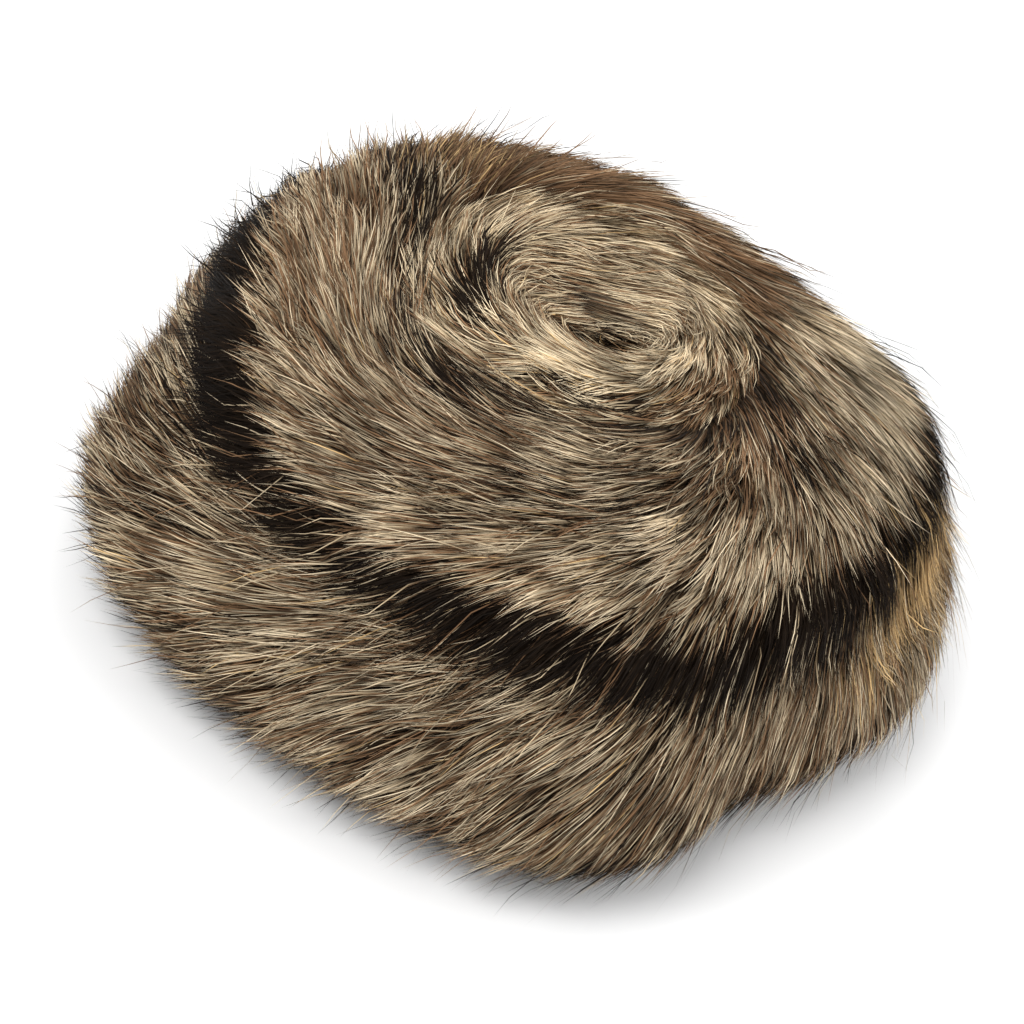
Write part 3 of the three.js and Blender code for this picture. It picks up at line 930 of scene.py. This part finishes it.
def ribbons(name, lines, sides, width, columns, material, slot):
    """One mesh of all the hairs of a field: at each stride two points, half a width to both sides,
    and one at the tip. Its UV map has the hair's column of the palette, and the way from root to tip."""
    hairs = len(lines)
    half = 0.5 * width[:, None, None] * RIBBON_TAPER[None, :, None] * sides
    left = (lines + half)[:, :-1]
    right = (lines - half)[:, :-1]
    points = np.concatenate([np.stack([left, right], 2).reshape(hairs, -1, 3), lines[:, -1:]], 1)
    each = points.shape[1]
    quads = [2 * k + np.array([0, 1, 3, 2]) for k in range(HAIR_STEPS - 1)]
    tip = 2 * (HAIR_STEPS - 1) + np.array([0, 1, 2])
    pattern = np.concatenate([*quads, tip])
    corners = (np.arange(hairs)[:, None] * each + pattern).ravel()
    face_sides = np.tile([4] * (HAIR_STEPS - 1) + [3], hairs)
    piece = mesh_from_arrays(name, points.reshape(-1, 3), corners, face_sides)
    across = np.array([-1.0, 1.0] * HAIR_STEPS + [0.0])[pattern]
    down = (np.arange(each) // 2)[pattern]
    u = columns[:, None] + HALF_COLUMN * across
    v = np.clip(down / HAIR_STEPS, 0.002, 0.998) + 0 * u
    palette = piece.data.uv_layers.new(name="OFBake")
    palette.data.foreach_set("uv", np.stack([u, v], -1).astype(np.float32).ravel())
    piece.data.materials.append(material)
    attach(piece, "root")


# %% Depth of the roots and height of the tips
def root_depth(section, along):
    """How deep a hair roots: the wool's depth, and less where a piece ends at the whorl's seam and in
    the whorl's middle, so that hair covers them."""
    if section == "cuff":
        return WOOL_DEPTH + 0 * along
    if section == "whorl":
        at_seam = np.clip((0.25 - along) / 0.2, 0, 1)
        at_middle = np.clip((along - 0.7) / 0.25, 0, 1)
        return WOOL_DEPTH * (1 - 0.7 * at_seam - 0.8 * at_middle)
    return WOOL_DEPTH * (1 - 0.8 * np.clip((crown_share(along) - 0.78) / 0.18, 0, 1))


# The columns are degrees, half width, share of the section, half share, and reach in metres.
HEIGHTS = {
    "crown": [
        (160, 8, 0.42, 0.14, 0.005), (142, 7, 0.36, 0.14, 0.004), (126, 8, 0.42, 0.25, -0.004),
        (96, 14, 0.60, 0.25, -0.002), (28, 16, 0.80, 0.25, -0.002), (9, 9, 0.60, 0.25, 0.003),
    ],
    "cuff": [
        (172, 9, 0.43, 0.25, -0.003), (152, 14, 0.55, 0.25, -0.005), (-15, 9, 0.50, 0.25, -0.004),
        (-68, 14, 0.38, 0.20, -0.0035), (-98, 26, 0.25, 0.20, -0.004),
    ],
}


def extra_height(piece, around, along):
    """Extra height of the tips, in bells on the surface: the dark stripe's long hair stands up at the
    hat's left, some places are pressed flat, and near the hem the hair lies close."""
    height = 0 * along
    for oval, (reach,) in ovals(HEIGHTS.get(piece, []), around, along):
        height = height + reach * np.exp(-oval)
    if piece == "cuff":
        height = height - 0.004 * np.clip((0.5 - along) / 0.25, 0, 1)
    return height


print("places where tips are moved:", len(HEIGHTS["crown"]), "and", len(HEIGHTS["cuff"]))

# %% Gather hair into locks and tufts
MEAN_RADIUS = {"cuff": 0.135, "overhang": 0.100, "whorl": 0.036}
SECTION_LENGTH = {"cuff": 0.165, "overhang": 0.185, "whorl": 0.072}
# Cell size in metres, pull, seed, and the swing of the leading hairs in degrees: locks, then tufts.
GATHERINGS = [(0.021, 0.38, 5, 9.0), (0.0070, 0.62, 9, 12.0)]
LOOSER = 0.75
FROM_ROOT = np.linspace(0, 1, HAIR_STEPS + 1)[None, :, None]


def gathered(section, around, along, lines, length, wild, scatter):
    """Lines drawn to the leading hair of their lock and tuft, by pull times the share of the hair to
    the power 1.3. Also a relief, lower with the distance from the cell's middle, and the cell's tone."""
    relief = np.zeros(len(lines))
    tone = np.zeros(len(lines))
    ring, section_long = 2 * np.pi * MEAN_RADIUS[section], SECTION_LENGTH[section]
    for size, pull, seed, sway in GATHERINGS:
        cells = (max(3, round(ring / size)), max(2, round(section_long / size)))
        chosen, at_around, at_along, far = nearest_cell(around, along, *cells, seed)
        swing = np.random.default_rng(seed + 1).normal(0, sway, len(at_around))
        leaders = combed(section, at_around, at_along, swing, np.full(len(at_around), length))[0]
        grip = pull * (1 - LOOSER * wild) * scatter.uniform(0.55, 1.0, len(lines))
        lines = lines + grip[:, None, None] * FROM_ROOT**1.3 * (leaders[chosen] - lines)
        relief = relief - np.sqrt(far) * (size * 0.17)
        tone = tone + 0.10 * np.random.default_rng(seed + 2).normal(0, 1, len(at_around))[chosen]
    return lines, relief, tone


# %% Raise the hair off the pelt
def raised(lines, outs, tips, depth, stiff, wild, scatter):
    """Lines lifted from the root's depth to the tip's height, by the share of the hair to the power
    0.75, drawn by stiff towards a straight hair, and curled by chance, with the share's square."""
    rise = -depth + (tips[:, None, None] + depth) * FROM_ROOT**0.75
    straight = lines[:, :1] + FROM_ROOT * (lines[:, 1:2] - lines[:, :1]) * HAIR_STEPS
    lines = lines + stiff * (straight - lines) + rise * outs
    curl = scatter.normal(0, 1, (len(lines), 1, 3)) * (0.0008 + 0.0008 * wild) * FROM_ROOT**2
    return lines + curl


def above_floor(lines, scatter):
    """Lines kept 0.8 to 1.4 mm over the floor, which spread out by 0.35 of what they lack of 4 mm."""
    under = np.maximum(0.004 - lines[..., 2], 0)
    flat = unit(lines[..., :2]) * (0.35 * np.minimum(under, 0.008))[..., None]
    lines[..., :2] += flat
    lines[..., 2] = np.maximum(lines[..., 2], 0.0008 + 0.0006 * scatter.uniform(0, 1, (len(lines), 1)))
    return lines


# %% Choose a hair's column in the palette
BRIGHTNESS = {"cuff": 0.53, "crown": 0.50, "whorl": 0.70}


def palette_columns(odds, bright, scatter):
    """The kind that a draw from the chances picks, plus the middle of its shade, over the kinds."""
    kinds = (scatter.uniform(0, 1, (len(odds), 1)) > np.cumsum(odds, 1)).sum(1).clip(0, len(KIND_NAMES) - 1)
    bright = bright + 0.19 * scatter.normal(0, 1, len(odds))
    shade = np.clip(np.floor(bright * SHADES), 0, SHADES - 1)
    return (kinds + (shade + 0.5) / SHADES) / len(KIND_NAMES)


# %% Grow one field
PAST_BOX = np.array([0.013, 0.013, 0.008])
LOWEST = np.array(cad_low) - PAST_BOX * (1, 1, 0)
HIGHEST = np.array(cad_high) + PAST_BOX


def grow(name, section, low, high, count, length, lift, seed, wild=0.0, width=0.00042):
    """A field of hair. lift is the height of its tips over the mean surface, and wild the extra
    spread and height of loose hairs, which are darker too. Hair that leaves the box isn't kept."""
    scatter = np.random.default_rng(seed)
    around, along = roots(section, low, high, count, scatter)
    count = len(around)
    long = length * scatter.uniform(0.72, 1.2, count)
    turn = scatter.normal(0, 6 + 8 * wild, count)
    lines, outs, shown_around, shown_along = combed(section, around, along, turn, long)
    lines, relief, tone = gathered(section, around, along, lines, length, wild, scatter)
    patch = mottle(lines[:, 0], 0.026, 3)
    tips = lift + relief + 0.0008 * patch + scatter.normal(0, 0.0012 + 0.0022 * wild, count)
    piece, share = on_piece(section, along)
    tips = tips + extra_height(piece, around, share)
    depth = root_depth(section, along)[:, None, None]
    tips = np.maximum(tips, 0.0012 - 0.8 * depth[:, 0, 0])
    stiff = (0.22 + 0.25 * wild) * FROM_ROOT**2 * (0.3 if section == "whorl" else 1.0)
    lines = above_floor(raised(lines, outs, tips, depth, stiff, wild, scatter), scatter)
    kept = ((lines > LOWEST) & (lines < HIGHEST)).all((1, 2))
    ways = unit(np.gradient(lines, axis=1))
    level = unit(np.cross(ways, outs))
    roll = scatter.normal(0, 0.55, count)[:, None, None]
    sides = unit(np.cos(roll) * level + np.sin(roll) * outs)
    # Low tips, deep in the coat and in the gaps, favour darker kinds: partly the wool's own brown, partly
    # painted shade.
    height = np.clip((tips - 0.0005) / 0.003 + 2.5 * tone, -1.5, 1.5) - 2.0 * wild
    odds = chances(piece, shown_around, on_piece(section, shown_along)[1], height)
    # The relief darkens hair towards the gaps between locks and tufts: painted shade.
    bright = BRIGHTNESS[piece] + 0.12 * patch + tone + 90 * (relief + 0.0011)
    columns = palette_columns(odds, bright, scatter)
    wide = width * scatter.uniform(0.75, 1.25, count)
    ribbons(name, lines[kept], sides[kept], wide[kept], columns[kept], *COATS[section])
    print(name, "hairs:", kept.sum(), "triangles:", 7 * kept.sum())


# %% [markdown]
# ## The fields
# Three layers make a dense coat: short wool, the body of banded hair, and a sparser top coat whose
# tips catch the light. Loose hairs stand off at the outline.

# %% Grow the cuff's fur
grow("cuff_wool_hair", "cuff", 0.06, 0.97, 9000, 0.026, -0.0030, 101)
grow("cuff_banded_hair", "cuff", 0.08, 0.97, 28000, 0.034, 0.0002, 102)
grow("cuff_top_hair", "cuff", 0.10, 0.95, 27000, 0.037, 0.0024, 103)
grow("cuff_fringe_hair", "cuff", 0.10, 0.48, 5500, 0.038, 0.0048, 104, 0.45, 0.00036)

# %% Grow the crown's fur
LOW, HIGH = overhang_share(0.32), overhang_share(1.0)
grow("crown_wool_hair", "overhang", LOW, HIGH, 8000, 0.026, -0.0026, 201)
grow("crown_banded_hair", "overhang", LOW, HIGH, 27000, 0.032, 0.0004, 202)
grow("crown_top_hair", "overhang", LOW, HIGH, 16000, 0.034, 0.0024, 203)

# %% Grow the whorl's fur
grow("whorl_hair", "whorl", 0.0, 1.0, 13500, 0.026, 0.0002, 301)

# %% Grow the loose hairs
grow("cuff_loose_hair", "cuff", 0.12, 0.70, 1800, 0.044, 0.0055, 401, 1.0, 0.00032)
grow("crown_loose_hair", "overhang", LOW, HIGH, 2200, 0.038, 0.0055, 402, 1.0)
grow("whorl_loose_hair", "whorl", 0.05, 0.80, 300, 0.028, 0.0030, 403, 1.0, 0.00030)

# %% [markdown]
# ## Floor, light and camera
# The hat rests on a plain pale floor, in the soft light of large lamps, as in a studio. The camera
# looks down at it from the front left. It leans, so the hat's upright leans to the right in the
# picture, and it stands a metre off with a long lens, so the perspective is gentle.

# %% Lay the floor
floor_mesh = bpy.data.meshes.new("floor")
floor_mesh.from_pydata([(-6, -6, 0), (6, -6, 0), (6, 6, 0), (-6, 6, 0)], [], [(0, 1, 2, 3)])
floor = add_object("floor", floor_mesh)
paper, _, paper_shader = new_material("pale paper", 0.9, 0.5)
paper_shader.inputs["Base Color"].default_value = (0.88, 0.88, 0.88, 1)
floor_mesh.materials.append(paper)
floor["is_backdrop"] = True
print("floor:", paper.name)


# %% Hang the lights
AIM = np.array([0, 0, 0.05])


def lamp(name, place, size, power):
    """A square area light at a place, which looks at the hat's middle."""
    data = bpy.data.lights.new(name, "AREA")
    data.size = size
    data.energy = power
    lamp_object = add_object(name, data)
    back = unit(np.array(place, float) - AIM)
    right = unit(np.cross([0, 0, 1], back))
    turn = Matrix(np.stack([right, np.cross(back, right), back], 1).tolist()).to_4x4()
    lamp_object.matrix_world = Matrix.Translation(place) @ turn
    print(name, "at", place, "with", power, "W")


lamp("key light", (-0.7, -0.5, 1.3), 0.7, 17)
lamp("fill light", (1.1, -0.7, 1.0), 1.2, 7)
lamp("back light", (0.4, 1.2, 0.9), 0.9, 7)
world = bpy.data.worlds.new("studio")
world.use_nodes = True
world.node_tree.nodes["Background"].inputs[0].default_value = (1, 1, 1, 1)
world.node_tree.nodes["Background"].inputs[1].default_value = 0.75
bpy.context.scene.world = world
bpy.context.scene.view_settings.view_transform = "Standard"

# %% Set the camera
PICTURE = 1024
FOCAL_PIXELS = 3050
RIGHT_OF_MIDDLE = -27
ABOVE_MIDDLE = -33
SENSOR = 36
STANDS = np.radians(-26)
LOOKS_DOWN = np.radians(40.5)
LEANS = np.radians(21)
ahead = np.array(
    [-np.sin(STANDS) * np.cos(LOOKS_DOWN), np.cos(STANDS) * np.cos(LOOKS_DOWN), -np.sin(LOOKS_DOWN)]
)
level_right = np.array([np.cos(STANDS), np.sin(STANDS), 0])
level_up = np.cross(level_right, ahead)
right = np.cos(LEANS) * level_right + np.sin(LEANS) * level_up
above = np.cos(LEANS) * level_up - np.sin(LEANS) * level_right
camera_data = bpy.data.cameras.new("camera")
camera_data.sensor_width = SENSOR
camera_data.lens = FOCAL_PIXELS / PICTURE * SENSOR
camera_data.shift_x = RIGHT_OF_MIDDLE / PICTURE
camera_data.shift_y = ABOVE_MIDDLE / PICTURE
camera = add_object("camera", camera_data)
stand = AIM - ahead
turn = Matrix(np.stack([right, above, -ahead], 1).tolist()).to_4x4()
camera.matrix_world = Matrix.Translation(stand.tolist()) @ turn
bpy.context.scene.camera = camera
print("camera stands at", stand.round(3), "with a lens of", round(camera_data.lens, 1), "mm")

# %% [markdown]
# ## Check and finish
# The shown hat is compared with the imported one, so that fur that grew too far would be seen.

# %% Compare the boxes
low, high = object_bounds()
past_box = [round(1000 * d, 1) for d in [*(cad_low - low), *(high - cad_high)]]
print("shown hat goes past the packed one, in mm:", past_box)
triangles = sum(len(piece.data.loops) - 2 * len(piece.data.polygons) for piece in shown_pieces())
print("triangles in all:", triangles)
